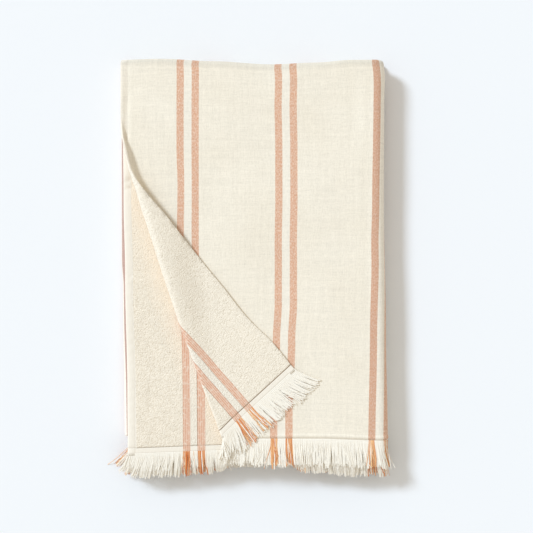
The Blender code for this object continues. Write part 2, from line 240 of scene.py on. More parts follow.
def turn_corner(plan, height, normal):
    """Rolls points of the top layer over the crease: their plan, height and normal."""
    from_start = plan - CREASE_START
    down = from_start @ CREASE_DOWN
    edge = read(CREASE_EDGE, down)
    radius = roll_radius(down)
    flat = radius - (from_start @ CREASE_RIGHT - edge)
    angle = np.minimum(flat / radius, np.pi)
    past = flat - angle * radius
    settle = SETTLE_RADII * radius + SETTLE_MORE
    fall = 2.0 * radius - LAYER_PITCH
    rise = radius * (1.0 - np.cos(angle)) - fall * soft(past / settle)
    part = straight(past / settle)
    slope = -fall / settle * 6.0 * part * (1.0 - part)
    right = radius * (1.0 - np.sin(angle)) + past + edge
    swing = SWING * soft((down - SWING_STARTS) / SWING_REACH)
    down = down - swing * past
    moved = CREASE_START + np.outer(down, CREASE_DOWN) + np.outer(right, CREASE_RIGHT)
    lean = np.sin(angle) + slope
    turned = np.column_stack([CREASE_RIGHT[0] * lean, CREASE_RIGHT[1] * lean, np.cos(angle)])
    turned /= np.linalg.norm(turned, axis=1, keepdims=True)
    over = flat > 0.0
    plan = np.where(over[:, None], moved, plan)
    normal = np.where(over[:, None], turned, normal)
    return plan, np.where(over, height + rise, height), normal


def place(s, t):
    """The folded places of flat points in the middle of the cloth, and the normals of its smooth side."""
    panel, x, z, heading_x, heading_z = WIDTH.at(s)
    run, y, layer, heading_y, heading_layer = LENGTH.at(t)
    across, along = stray(panel, layer, run, x, y)
    plan = np.column_stack([x + across - layer * heading_z, y + along])
    height = STACK_MIDDLE_Z + z + layer * heading_x
    normal = np.column_stack([-heading_y * heading_z, -heading_layer, heading_y * heading_x])
    top = (panel == TOP_PANEL) & (run == TOP_RUN)
    plan[top] += np.column_stack(pulled(s[top], t[top]))
    plan[top], height[top], normal[top] = turn_corner(plan[top], height[top], normal[top])
    droop = np.maximum(DROOP_Y - plan[:, 1], 0.0) / DROOP_REACH
    height = height - DROOP * droop * droop
    height = height + swell(plan[:, 0], plan[:, 1]) * height / (2 * STACK_MIDDLE_Z)
    return np.column_stack([plan, height]), normal


corner, _ = place(np.array([0.0, WIDTH.length]), np.array([0.0, LENGTH.length]))
print("turned corner at", corner[0].round(4), "last corner at", corner[1].round(4))

# %% [markdown]
# ## The net of the cloth
# A mesh of even squares would need a million faces to hold the tight crease and the hems. Here rows of
# points lie closer where the cloth bends or has a seam, and far apart inside the pack where nobody looks.
# Blender's Delaunay triangulation joins them. Near the crease the points follow the roll, with edges
# along it that the triangulation has to keep, so that the crease comes out clean.

# %% Spacing of the points
HEM_WIDTH = 0.0090
SEAM_DISTANCE = 0.0090
TOP_STEP, SECOND_STEP, HIDDEN_STEP, TURN_STEP, BEND_STEP = 0.0037, 0.0042, 0.0150, 0.0065, 0.0080
HEM_ROWS = np.array([0.0, 0.0014, 0.0045, 0.0078, 0.0086, 0.0094, 0.0104, 0.0125])
SEAM_ROWS = np.array(
    [0.0, 0.0022, 0.0032, 0.0038, 0.0046, 0.0060, 0.0076, 0.0084, 0.0090, 0.0096, 0.0106, 0.0130]
)
HIDDEN_SEAM_ROWS = SEAM_ROWS[[0, 3, 5, 8, 11]]
ROWS_ROUND_SIDE, ROWS_ROUND_END = 12, 8
VISIBLE_SECOND = 0.150


def even(low, high, step):
    """Evenly spaced places from low to high, about a step apart."""
    return np.linspace(low, high, max(2, round((high - low) / step) + 1))


def places(route, turn_rows, edge_rows, step, finer={}):
    """The places of points along each piece of a route. Finer holds the steps of single pieces."""
    found = []
    for piece, (low, high) in enumerate(zip(route.marks, route.marks[1:])):
        if piece % 2:
            found.append(np.linspace(low, high, turn_rows + 1))
            continue
        rows = [np.array([low, high])]
        if piece == 0:
            rows.append(edge_rows)
            low = low + edge_rows[-1]
        if piece == len(route.marks) - 2:
            rows.append(high - edge_rows)
            high = high - edge_rows[-1]
        rows.append(even(low, high, finer.get(piece, step)))
        found.append(np.unique(np.concatenate(rows).round(6)))
    return found


ROWS = places(LENGTH, ROWS_ROUND_END, SEAM_ROWS, HIDDEN_STEP, {TOP_RUN: TOP_STEP, SECOND_RUN: SECOND_STEP})
SIDE_ROWS = places(LENGTH, ROWS_ROUND_END, SEAM_ROWS, TURN_STEP)
HIDDEN_ROWS = places(LENGTH, ROWS_ROUND_END, HIDDEN_SEAM_ROWS, HIDDEN_STEP)
COLUMNS = places(WIDTH, ROWS_ROUND_SIDE, HEM_ROWS, HIDDEN_STEP)
TOP_COLUMNS = places(WIDTH, ROWS_ROUND_SIDE, HEM_ROWS, TOP_STEP)[TOP_PANEL]
print(f"top layer: {len(TOP_COLUMNS)} columns, {len(ROWS[TOP_RUN])} rows")


# %% Rows that follow the crease
def flat_of_top(plan):
    """The flat points that lie at places of the top layer before its corner is turned."""
    s, t = plan[:, 0] - SELVEDGE_X, plan[:, 1] - UPPER_END_Y
    for _ in range(4):
        x, y = SELVEDGE_X + s, UPPER_END_Y + t
        across, along = stray(np.zeros(len(s)), OUTERMOST_LAYER * LAYER_PITCH, TOP_RUN, x, y)
        left, up = pulled(s, t)
        s, t = s + plan[:, 0] - x - across - left, t + plan[:, 1] - y - along - up
    return s, t


CREASE_SPAN, CREASE_SAMPLES = (-0.080, 0.420), 400
ROLL_LINES, SLOPE_LINES = 19, 9


def crease_columns(rows):
    """For each line along the crease, its s at each t of rows, through the roll and the slope."""
    down = np.linspace(*CREASE_SPAN, CREASE_SAMPLES)
    radius = roll_radius(down)
    settle = SETTLE_RADII * radius + SETTLE_MORE
    roll = [radius * np.pi * part for part in np.linspace(0.0, 1.0, ROLL_LINES)]
    slope = [radius * np.pi + settle * part for part in np.linspace(0.0, 1.0, SLOPE_LINES)[1:]]
    found = []
    for flat in roll + slope:
        right = radius - flat + read(CREASE_EDGE, down)
        s, t = flat_of_top(CREASE_START + np.outer(down, CREASE_DOWN) + np.outer(right, CREASE_RIGHT))
        found.append(np.interp(rows, t[::-1], s[::-1]))
    return np.array(found)


print(f"crease: {ROLL_LINES} lines round the roll, {SLOPE_LINES - 1} down the slope")


# %% Points under the top layer
def lower_points():
    """The flat points of everything but the top layer."""
    groups = []
    for panel, columns_here in enumerate(COLUMNS):
        for run, rows in enumerate(ROWS):
            if panel == TOP_PANEL and run == TOP_RUN:
                continue
            columns = columns_here
            hidden = False
            if panel % 2:
                rows = SIDE_ROWS[run]
            elif panel != TOP_PANEL:
                rows = HIDDEN_ROWS[run]
            if run % 2 and not panel % 2:
                columns = even(columns[0], columns[-1], BEND_STEP)
            if panel == TOP_PANEL and run == SECOND_RUN:
                seen = np.concatenate([HEM_ROWS, even(HEM_ROWS[-1], VISIBLE_SECOND, SECOND_STEP)])
                columns = np.concatenate([seen, even(VISIBLE_SECOND, columns[-1], HIDDEN_STEP)])
                hidden = (columns[:, None] > VISIBLE_SECOND + 1e-6) & (np.arange(len(rows)) % 3 > 0)
            grid = np.stack(np.meshgrid(columns, rows, indexing="ij"), -1)
            groups.append(grid[~np.broadcast_to(hidden, grid.shape[:2])])
    return np.concatenate(groups)


# %% Points of the top layer
CLEAR_OF_CREASE, CLEAR_OF_SELVEDGE = 0.0018, 0.0004


def top_points(first):
    """The flat points of the top layer, numbered from first, and the edges along its crease."""
    rows = ROWS[TOP_RUN]
    lines = crease_columns(rows)
    points = []
    for number, t in enumerate(rows):
        beside = TOP_COLUMNS > lines[0, number] + CLEAR_OF_CREASE
        beside |= (TOP_COLUMNS < lines[-1, number] - CLEAR_OF_CREASE) | (TOP_COLUMNS == 0.0)
        points += [(s, t) for s in TOP_COLUMNS[beside]]
    numbers = {}
    for line, at in enumerate(lines):
        for number, t in enumerate(rows):
            if at[number] > CLEAR_OF_SELVEDGE:
                numbers[line, number] = first + len(points)
                points.append((at[number], t))
    after = {key: numbers.get((key[0], key[1] + 1)) for key in numbers}
    edges = [(numbers[key], after[key]) for key in numbers if after[key]]
    crossings = [np.interp(0.0, at[::-1], rows[::-1]) for at in lines if at.min() < 0.0 < at.max()]
    return np.array(points + [(0.0, t) for t in crossings]), edges


# %% Join the points
below = lower_points()
above, kept_edges = top_points(len(below))
outline = [(0.0, 0.0), (WIDTH.length, 0.0), (WIDTH.length, LENGTH.length), (0.0, LENGTH.length)]
corners = [Vector(point) for point in [*below.tolist(), *above.tolist(), *outline]]
first = len(corners) - len(outline)
kept_edges += [(first, first + 1), (first + 1, first + 2), (first + 2, first + 3), (first + 3, first)]
net_points, _, net_faces, _, _, _ = delaunay_2d_cdt(corners, kept_edges, [], 0, 1e-6)
net_points = np.array([tuple(point) for point in net_points])
net_faces = np.array(net_faces)
print(f"net: {len(net_points)} points, {len(net_faces)} triangles")

# %% [markdown]
# ## Seams, hems and wrinkles
# The side hems are turned over once, so they stand up on the looped side. Each end has a woven heading
# with a seam along it: a groove on the looped side, and a small ridge on the smooth side. These are real
# steps in the mesh, read from tables by the distance from the edge. Wrinkles are single soft troughs
# and ridges, listed one by one, each with a place, a turn, a length, a width and a height.

# %% Thickness of the cloth
HALF_THICKNESS = 0.00095
FACE_BY_END = [
    (0, -0.0007), (0.0022, -0.0007), (0.0032, -0.0006), (0.0046, 0.0004), (0.006, 0.0008),
    (0.0076, 0.0006), (0.009, 0), (0.0106, 0),
]
LOOPS_BY_END = [
    (0, -0.0007), (0.0022, -0.0007), (0.0032, -0.0001), (0.0084, 0), (0.009, -0.0006),
    (0.0096, 0.0001), (0.0106, 0.0003),
]
LOOPS_BY_SIDE = [(0, -0.0001), (0.0014, 0.0004), (0.0078, 0.0003), (0.0094, -0.0001), (0.0106, 0)]
FACE_BY_SIDE = [(0, -0.0003), (0.0014, 0), (0.007, 0), (0.008, -0.00018), (0.009, 0)]
PUCKER_PITCH, PUCKER_DRIFT, PUCKER_HEIGHT = 0.0116, 0.071, 0.00022


def thicknesses(s, t):
    """How far the smooth and the looped side lie from the middle of the cloth."""
    by_end = np.minimum(t, LENGTH.length - t)
    by_side = np.minimum(s, WIDTH.length - s)
    face = HALF_THICKNESS + read(FACE_BY_END, by_end) + read(FACE_BY_SIDE, by_side)
    loops = HALF_THICKNESS + read(LOOPS_BY_END, by_end) + read(LOOPS_BY_SIDE, by_side)
    in_hem = soft(1.4 - by_side / HEM_WIDTH * 1.2)
    pucker = np.sin(2 * np.pi * t / PUCKER_PITCH + 1.3 * np.sin(2 * np.pi * t / PUCKER_DRIFT))
    return face, loops + PUCKER_HEIGHT * pucker * in_hem


print(f"cloth {2 * HALF_THICKNESS * 1000:.1f} mm thick, hems {HEM_WIDTH * 1000:.0f} mm wide")

# %% Wrinkles: s, t, degrees from along the cloth, length, width, height
TOP_WRINKLES = [
    (0.0078, 0.41, 2, 0.04, 0.0034, -0.0012),
    (0.0062, 0.372, 8, 0.006, 0.0024, -0.0026),
    (0.0012, 0.392, 0, 0.034, 0.0032, 0.0012),
    (0.015, 0.428, 8, 0.022, 0.006, -0.0005),
    (0.285, 0.42, 0, 0.06, 0.008, -0.0006),
    (0.302, 0.3, 1, 0.14, 0.005, -0.0004),
    (0.215, 0.449, 72, 0.03, 0.006, 0.0005),
]
FLAP_WRINKLES = [
    (0.03, 0.215, -35, 0.02, 0.0035, -0.0006),
    (0.048, 0.15, -20, 0.024, 0.005, 0.0006),
    (0.02, 0.13, 10, 0.03, 0.006, -0.0005),
]
CRINKLES = [(0.3373, 0.0016, 0.0046), (0.3281, 0.001, 0.0038)]
SECOND_WRINKLES = [
    (0.006, CRINKLES[0][0], 62, 0.006, 0.0026, -0.002),
    (0.0065, CRINKLES[1][0], 70, 0.006, 0.0024, -0.0016),
    (0.006, 0.22, -50, 0.0045, 0.0016, -0.0013),
    (0.029, 0.228, -62, 0.014, 0.0032, -0.0008),
    (0.036, 0.214, -70, 0.012, 0.0028, 0.0006),
    (0.025, 0.205, -75, 0.012, 0.0026, -0.0006),
    (0.05, 0.12, -20, 0.03, 0.008, 0.0005),
    (0.03, 0.07, 15, 0.026, 0.007, -0.0004),
]


def wrinkled(rows, s, t):
    """The height of all the wrinkles of a table at flat points."""
    total = np.zeros(len(s))
    for row_s, row_t, degrees, length, width, height in rows:
        turned = math.radians(degrees)
        along = (t - row_t) * math.cos(turned) + (s - row_s) * math.sin(turned)
        beside = (s - row_s) * math.cos(turned) - (t - row_t) * math.sin(turned)
        total += height * np.exp(-((along / length) ** 2) - (beside / width) ** 2)
    return total


def relief(s, t):
    """How far the middle of the cloth moves towards its smooth side."""
    top = (WIDTH.piece(s) == TOP_PANEL) & (LENGTH.piece(t) == TOP_RUN)
    second = (WIDTH.piece(s) == TOP_PANEL) & (LENGTH.piece(t) == SECOND_RUN)
    total = wrinkled(TOP_WRINKLES, s, t) * top - wrinkled(FLAP_WRINKLES, s, t) * top
    return total - wrinkled(SECOND_WRINKLES, s, LENGTH.length - t) * second


print(f"{len(TOP_WRINKLES + FLAP_WRINKLES + SECOND_WRINKLES)} wrinkles")

# %% [markdown]
# ## Give the cloth its two sides
# Each flat point becomes two: one on the smooth side and one on the looped side. Walls close the outline,
# so the towel is one closed thin body. The map named flat keeps s and t in metres for the weave, and short
# tables move its s where the real weave is a little askew. The second map lays the two sides beside each
# other like pattern pieces, for any picture that is later baked from them.

# %% Maps of the weave
RIGHT_SKEW = [
    (-0.215, 0.0098), (-0.08, 0.0052), (0.02, 0.0018), (0.084, 0), (0.206, -0.0012),
    (0.25, 0),
]
NEAR_RIGHT = [(0, 0), (0.215, 0), (0.306, 1), (0.345, 1), (0.6, 0), (1.1, 0)]
MIDDLE_SKEW = [
    (-0.215, 0.008), (-0.184, 0.0079), (-0.087, 0.0033), (-0.038, 0.0008), (0.02, 0),
    (0.085, -0.0012), (0.145, -0.001), (0.206, 0), (0.25, 0),
]
NEAR_MIDDLE = [(0, 0), (0.12, 0), (0.18, 1), (0.225, 1), (0.285, 0), (1.1, 0)]
CORNER_SKEW, CORNER_SKEW_REACH = -0.0013, 0.130
NEAR_CORNER = [(0, 0), (0.06, 1), (0.105, 1), (0.13, 0), (1.1, 0)]
LEFT_SKEW = [(-0.215, 0.0082), (-0.15, 0.0079), (-0.06, 0.0059), (0.04, 0.0044), (0.26, 0.004)]
NEAR_LEFT = [(0, 0), (0.6, 0), (0.65, 1), (0.69, 1), (0.74, 0), (1.1, 0)]
SKEWS = [(RIGHT_SKEW, NEAR_RIGHT), (LEFT_SKEW, NEAR_LEFT), (MIDDLE_SKEW, NEAR_MIDDLE)]
PATTERN_GAP = 0.012
PATTERN_SIDE = 2 * WIDTH.length + 3 * PATTERN_GAP


def woven(s, t):
    """Where points lie on the weave: s with its skew, and t."""
    _, y, _, _, _ = LENGTH.at(t)
    skew = sum(read(rows, y) * read(near, s) for rows, near in SKEWS)
    skew = skew + CORNER_SKEW * read(NEAR_CORNER, s) * soft(1.0 - t / CORNER_SKEW_REACH)
    return np.column_stack([s + skew, t])


print(f"weave askew by up to {max(offset for rows, _ in SKEWS for _, offset in rows) * 1000:.1f} mm")


def pattern(s, t, looped):
    """Where points lie on the pattern pieces, inside a square of side 1."""
    across = PATTERN_GAP + s + looped * (WIDTH.length + PATTERN_GAP)
    return np.column_stack([across, PATTERN_GAP + t]) / PATTERN_SIDE


# %% Make a mesh object
def new_piece(name, points, faces, maps, materials, slots):
    """A mesh object. Each map holds a place for every corner of every face."""
    mesh = bpy.data.meshes.new(name)
    mesh.from_pydata(points.tolist(), [], faces.tolist())
    for map_name, at in maps.items():
        mesh.uv_layers.new(name=map_name).uv.foreach_set("vector", at.astype(np.float32).ravel())
    for material in materials:
        mesh.materials.append(material)
    mesh.polygons.foreach_set("material_index", slots.astype(np.int32))
    mesh.shade_smooth()
    mesh.update()
    piece = bpy.data.objects.new(name, mesh)
    bpy.context.scene.collection.objects.link(piece)
    return piece


# %% [markdown]
# ## Writing a finish
# A finish is a material whose nodes work out its colour and its bumps. Nodes wired by hand are long to
# write, so one small class wraps a socket: adding or multiplying two of them adds the Math node that does
# it. Colours go through Mix nodes instead, because a Math node would turn them grey.

# %% Sockets as numbers
def operator(operation, reflected=False):
    """A method that adds one Math node. Reflected, its terms change places, as in 1 - mask."""
    if reflected:
        return lambda self, other: self.math(operation, other, self)
    return lambda self, other: self.math(operation, self, other)


class Signal:
    """A socket of a finish that can be used in sums and products."""

    def __init__(self, finish, socket):
        self.finish, self.socket = finish, socket

    def math(self, operation, *terms):
        """One Math node on some terms."""
        return self.finish.node("ShaderNodeMath", {"operation": operation}, dict(enumerate(terms)))["Value"]

    __add__ = __radd__ = operator("ADD")
    __mul__ = __rmul__ = operator("MULTIPLY")
    __sub__ = operator("SUBTRACT")
    __rsub__ = operator("SUBTRACT", reflected=True)
    __truediv__ = operator("DIVIDE")
    __mod__ = operator("FLOORED_MODULO")
    least = operator("MINIMUM")
    most = operator("MAXIMUM")

    def __abs__(self):
        return self.math("ABSOLUTE", self)

    def held(self):
        """The signal held between 0 and 1."""
        return self.finish.node("ShaderNodeClamp", {}, {"Value": self})["Result"]

    def spread(self, contrast, level):
        """Noise with more contrast, moved from 0.5 to a level."""
        return ((self - 0.5) * contrast + level).held()

    def inside(self, middle, half, edge):
        """1 within half of middle, 0 outside, with a soft edge."""
        return ((half - abs(self - middle)) / edge + 0.5).held()

    def below(self, limit, edge):
        """1 below a limit, 0 above, with a soft edge."""
        return ((limit - self) / edge + 0.5).held()


# %% A finish and its nodes
class Finish:
    """A material and the nodes that feed its shader."""

    def __init__(self, name, roughness=0.9, sheen=0.15):
        self.material = bpy.data.materials.new(name)
        self.material.use_nodes = True
        self.tree = self.material.node_tree
        self.inputs = self.tree.nodes["Principled BSDF"].inputs
        settings = {"Roughness": roughness, "Specular IOR Level": 0.25, "Sheen Weight": sheen}
        for name, value in {**settings, "Sheen Roughness": 0.6}.items():
            self.inputs[name].default_value = value

    def feed(self, socket, value):
        """Links a signal to a socket, or sets a plain value on it."""
        if isinstance(value, Signal):
            self.tree.links.new(value.socket, socket)
        else:
            socket.default_value = (*value, 1.0) if socket.type == "RGBA" else value

    def node(self, kind, settings, inputs):
        """Adds a node with its settings and inputs, and returns its outputs by name and by identifier."""
        node = self.tree.nodes.new(kind)
        for name, value in settings.items():
            setattr(node, name, value)
        sockets = {socket.identifier: socket for socket in node.inputs}
        for name, value in inputs.items():
            self.feed(sockets[name] if name in sockets else node.inputs[name], value)
        found = {socket.name: Signal(self, socket) for socket in node.outputs}
        found.update({socket.identifier: Signal(self, socket) for socket in node.outputs})
        return found

    def mix(self, factor, first, second, blend="MIX"):
        """A colour between two others."""
        settings = {"data_type": "RGBA", "blend_type": blend}
        inputs = {"Factor_Float": factor, "A_Color": first, "B_Color": second}
        return self.node("ShaderNodeMix", settings, inputs)["Result_Color"]

    def coats(self, colour, *coats):
        """A colour with others laid over it, each with its own factor."""
        for factor, coat in coats:
            colour = self.mix(factor, colour, coat)
        return colour

    def point(self, x, y, z=0.0):
        """A place made of three signals or numbers."""
        return self.node("ShaderNodeCombineXYZ", {}, {"X": x, "Y": y, "Z": z})["Vector"]

    def noise(self, x, y, z=0.0, scale=1.0, detail=2.0, roughness=0.5):
        """Soft random values from 0 to 1."""
        inputs = {"Vector": self.point(x, y, z), "Scale": scale, "Detail": detail, "Roughness": roughness}
        return self.node("ShaderNodeTexNoise", {"noise_dimensions": "3D"}, inputs)["Fac"]

    def weave(self):
        """The s and t of the weave at this point, in metres."""
        at = self.node("ShaderNodeUVMap", {"uv_map": "flat"}, {})["UV"]
        parts = self.node("ShaderNodeSeparateXYZ", {}, {"Vector": at})
        return parts["X"], parts["Y"]

    def close(self, colour, height, distance, strength):
        """Feeds a colour and the bumps of a height to the shader."""
        inputs = {"Height": height, "Distance": distance, "Strength": strength}
        self.feed(self.inputs["Normal"], self.node("ShaderNodeBump", {}, inputs)["Normal"])
        self.feed(self.inputs["Base Color"], colour)
        print(f"{self.material.name}: {len(self.tree.nodes)} nodes")


# %% [markdown]
# ## Stripes
# Pairs of salmon stripes run the length of the towel, woven in, so both sides show them at the same
# place. One mask serves every finish: the distance across repeats every pair, and two bands of it are
# coloured. Salmon is what orange warp yarns and cream weft yarns make together, so fine streaks of both
# lie in the stripe.

# %% Masks of the stripes and the edges
FIRST_STRIPE, STRIPE_WIDTH, STRIPE_GAP, PAIR_PITCH = 0.0683, 0.0088, 0.0096, 0.1195
SECOND_STRIPE = STRIPE_WIDTH + STRIPE_GAP
STRIPE_BLUR, GAP_BLUR = 0.0005, 0.0012
CREAM, DEEP_CREAM, PALE_CREAM = (0.868, 0.779, 0.634), (0.898, 0.819, 0.684), (0.900, 0.825, 0.705)
SALMON, DEEP_SALMON, FLECK = (0.765, 0.455, 0.305), (0.680, 0.350, 0.205), (0.860, 0.700, 0.560)


def in_stripe(s, wander=0.0, wider=0.0):
    """The mask of both stripes of each pair."""
    past = (s + wander - FIRST_STRIPE) % PAIR_PITCH
    half = STRIPE_WIDTH / 2
    first = past.inside(half, half + wider, STRIPE_BLUR)
    return first.most(past.inside(half + SECOND_STRIPE, half + wider, STRIPE_BLUR))


def in_gap(s):
    """The mask of the pale gap between the two stripes of a pair."""
    past = (s - FIRST_STRIPE) % PAIR_PITCH
    return past.inside(STRIPE_WIDTH + STRIPE_GAP / 2, STRIPE_GAP / 2, GAP_BLUR)


def from_edges(s, t):
    """The distances from the nearer selvedge and from the nearer cut end."""
    return s.least(WIDTH.length - s), t.least(LENGTH.length - t)


print(f"{int((WIDTH.length - FIRST_STRIPE) / PAIR_PITCH) + 1} pairs of stripes across the cloth")

# %% [markdown]
# ## The smooth side
# This side is a close plain weave. At arm's length no single yarn shows, only that some are thicker and
# some lighter. Noise stretched along the warp and noise stretched along the weft give both sets of yarns,
# their bumps and their slight differences in tone, without a regular grid that would shimmer in a small
# picture.

# %% Yarns and stripes of the smooth side
ACROSS_YARNS, ALONG_YARNS = 1150.0, 90.0
RIGHT_FOLD, LEFT_FOLD, FOLD_HALF, FOLD_BLUR = 0.313, 0.670, 0.012, 0.004
SHADED_SALMON, FOLD_SHADE_MAUVE = (0.520, 0.290, 0.190), (0.430, 0.280, 0.240)


def yarns(finish, s, t):
    """Warp yarns and weft yarns as two signals from 0 to 1."""
    warp = finish.noise(s * ACROSS_YARNS, t * ALONG_YARNS, detail=3.0, roughness=0.62)
    return warp, finish.noise(s * ALONG_YARNS, t * ACROSS_YARNS, 7.0, detail=3.0, roughness=0.62)


face = Finish("smooth_weave", sheen=0.1)
s, t = face.weave()
warp, weft = yarns(face, s, t)
grain = face.noise(s * 1.2, t * 0.7, 5.0, scale=560.0, detail=3.0, roughness=0.6)
salmon = face.coats(
    face.mix(warp.spread(2.6, 0.45), SALMON, DEEP_SALMON),
    (grain.spread(2.6, 0.2), FLECK),
    # Painted shade: where the stripes run round the left and the right fold, they are darker and duller.
    (s.inside(LEFT_FOLD, FOLD_HALF, FOLD_BLUR) * 0.8, FOLD_SHADE_MAUVE),
    (s.inside(RIGHT_FOLD, FOLD_HALF, FOLD_BLUR) * 0.35, SHADED_SALMON),
)

# %% Ground, hems and seams of the smooth side
HEM_TINT, GROOVE_SHADE = (0.885, 0.785, 0.660), (0.50, 0.42, 0.32)
HEM_LINE, GROOVE_LINE, LINE_BLUR = 0.0080, 0.0033, 0.0008
side, end = from_edges(s, t)
cloudy = face.noise(s, t, scale=14.0, detail=3.0)
wander = (face.noise(s * 20.0, t * 260.0) - 0.5) * 0.0004
# Painted shade in the groove of each heading and along the seam of each side hem.
end_groove_shade = end.inside(GROOVE_LINE, 0.0005, LINE_BLUR) * 0.35
colour = face.coats(
    face.mix(cloudy.spread(1.6, 0.5), CREAM, DEEP_CREAM),
    (in_gap(s) * 0.6, PALE_CREAM),
    (side.below(0.0078, 0.0012) * 0.35, HEM_TINT),
    (in_stripe(s, wander), salmon),
    (end_groove_shade.most(side.inside(HEM_LINE, 0.0003, LINE_BLUR) * 0.2), GROOVE_SHADE),
)

# %% Shade of the smooth side
BACK_TURN_MIDDLE = 0.5 * (LENGTH.marks[1] + LENGTH.marks[2])
BACK_SHADE, BACK_SHADE_REACH, BACK_SHADE_BLUR = 0.16, 0.0085, 0.006
slubs = face.noise(s * 300.0, t * 14.0, 3.0) + face.noise(s * 14.0, t * 300.0, 11.0)
shade = 1.0 + (warp - 0.5) * 0.26 + (weft - 0.5) * 0.26 + (grain - 0.5) * 0.22 + (slubs - 1.0) * 0.12
# Painted shade: the colour darkens along the rounding of the back fold.
shade = shade * (1.0 - abs(t - BACK_TURN_MIDDLE).below(BACK_SHADE_REACH, BACK_SHADE_BLUR) * BACK_SHADE)
colour = face.mix(1.0, colour, face.point(shade, shade, shade), "MULTIPLY")
face.close(colour, warp + weft + grain, distance=0.00045, strength=0.6)

# %% [markdown]
# ## The looped side
# Short uncut loops cover this side, except the stripes, the hems and the woven headings, which are flat.
# Millions of loops can't be modelled one by one, so cells of a Voronoi texture, bent by noise, stand for
# them as bumps, and the hollows between them are painted a little darker and warmer: painted shade. In
# the flat stripes fine lines run along the warp.

# %% Where the looped side is flat
HEM_WIDENS, HEM_WIDENS_WITHIN = 0.0014, 0.2
loops = Finish("looped_weave", roughness=0.95, sheen=0.3)
s, t = loops.weave()
side, end = from_edges(s, t)
from_front = LENGTH.length - t
on_second = 1.0 - t.below(0.5 * LENGTH.length, 0.01)
stripe = in_stripe(s, wider=0.0005)
widened = (1.0 - from_front / HEM_WIDENS_WITHIN).held() * HEM_WIDENS
hem = (side - widened).below(HEM_WIDTH, 0.0008) * on_second
heading = end.below(SEAM_DISTANCE, 0.0006)
plain = hem.most(heading)

# %% Loops
LOOP_SCALE, LOOP_BEND, LOOP_BEND_SCALE = 620.0, 0.0026, 420.0
here = loops.point(s, t)
waves = {"Vector": here, "Scale": LOOP_BEND_SCALE, "Detail": 2.0}
bend = {0: loops.node("ShaderNodeTexNoise", {}, waves)["Color"], 1: (LOOP_BEND, LOOP_BEND, 0.0), 2: here}
bent = loops.node("ShaderNodeVectorMath", {"operation": "MULTIPLY_ADD"}, bend)["Vector"]
cell = {"Vector": bent, "Scale": LOOP_SCALE}
pile = 1.0 - loops.node("ShaderNodeTexVoronoi", {"voronoi_dimensions": "2D"}, cell)["Distance"] * 1.25
warp, weft = yarns(loops, s, t)
mottled = loops.noise(s, t, scale=95.0, detail=4.0, roughness=0.7)
cloudy = loops.noise(s, t, 3.0, scale=22.0, detail=3.0)
grain = loops.noise(s, t, 9.0, scale=260.0, detail=3.0, roughness=0.7)
flat = stripe.most(plain)
height = (pile * 0.5 + mottled * 0.7 + grain * 0.9) * (1.0 - flat * 0.85) + (warp + weft) * 0.25

# %% Colours of the loops
LOOP_CREAM, LIGHT_LOOP = (0.985, 0.880, 0.722), (0.992, 0.895, 0.748)
SHADED_LOOP, DARK_LOOP, HOLLOW_SHADE = (0.880, 0.790, 0.650), (0.825, 0.715, 0.560), (0.720, 0.610, 0.450)
BOUNCE_LIGHT_GLOW, GLOW_REACH, CREASE_S, CREASE_SLOPE = (0.960, 0.800, 0.615), 0.024, 0.118, 0.345
# The dark mottling is weaker on the turned corner than on the layer under it: painted light that keeps the
# turned corner lighter.
mottling_painted_light = 0.55 + on_second * 0.45
# Painted light: light bounced from the roll above, painted as a warm glow on the second layer beside the
# crease; a little of it covers the whole second layer.
from_crease = abs(s - CREASE_S + from_front * CREASE_SLOPE)
painted_bounce_light = (1.0 - from_crease / GLOW_REACH).held() * on_second
ground = loops.coats(
    loops.mix(cloudy.spread(1.6, 0.5), LOOP_CREAM, LIGHT_LOOP),
    (mottled.spread(3.6, 0.3) * mottling_painted_light, SHADED_LOOP),
    (grain.spread(4.0, 0.2) * mottling_painted_light, DARK_LOOP),
    # Painted shade in the hollows between the loops.
    ((0.7 - pile).held() * 0.6, HOLLOW_SHADE),
    (painted_bounce_light * 0.65 + on_second * 0.1, BOUNCE_LIGHT_GLOW),
    (in_gap(s) * 0.45, PALE_CREAM),
)

# %% Stripes, hems and seams of the looped side
FLAT_SALMON, DEEP_FLAT_SALMON, WARP_LINES = (0.815, 0.550, 0.400), (0.655, 0.315, 0.185), 455.0
FLAT_CREAM, DEEP_FLAT_CREAM = (0.945, 0.860, 0.735), (0.865, 0.780, 0.650)
SEAM_THREAD_SHADE, SIDE_SEAM_THREAD_SHADE, CRINKLE_SHADE = (0.42, 0.27, 0.16), (0.60, 0.51, 0.40), (0.56, 0.41, 0.28)
line = ((s * WARP_LINES) % 1.0).inside(0.5, 0.22, 0.25)
salmon = loops.mix((line * 0.9 + (warp - 0.5) * 0.8).held(), FLAT_SALMON, DEEP_FLAT_SALMON)
salmon = loops.mix(grain.spread(4.0, 0.1), salmon, FLECK)
band = loops.mix(warp.spread(1.6, 0.4), FLAT_CREAM, DEEP_FLAT_CREAM)
seam = end.inside(SEAM_DISTANCE, 0.00055, 0.0005) * (1.0 - hem * 0.9)
side_seam = side.inside(HEM_WIDTH + 0.0002, 0.0004, 0.0006) * (0.3 + on_second * 0.7)
# Painted shade in two deep wrinkles of the second layer near its selvedge.
first, second = [from_front.inside(at, half, edge) for at, half, edge in CRINKLES]
crinkle_shade = first.most(second) * s.inside(0.0068, 0.0018, 0.0050) * mottled.spread(2.6, 0.8)
colour = loops.coats(
    ground,
    (stripe, salmon),
    (plain, loops.mix(stripe * heading, band, salmon)),
    # The seam lines are the stitching thread and painted shade in their grooves.
    (seam * (0.8 - on_second * 0.65), SEAM_THREAD_SHADE),
    (side_seam * 0.10, SIDE_SEAM_THREAD_SHADE),
    (crinkle_shade * 0.75, CRINKLE_SHADE),
)
loops.close(colour, height, distance=0.0011, strength=0.8)

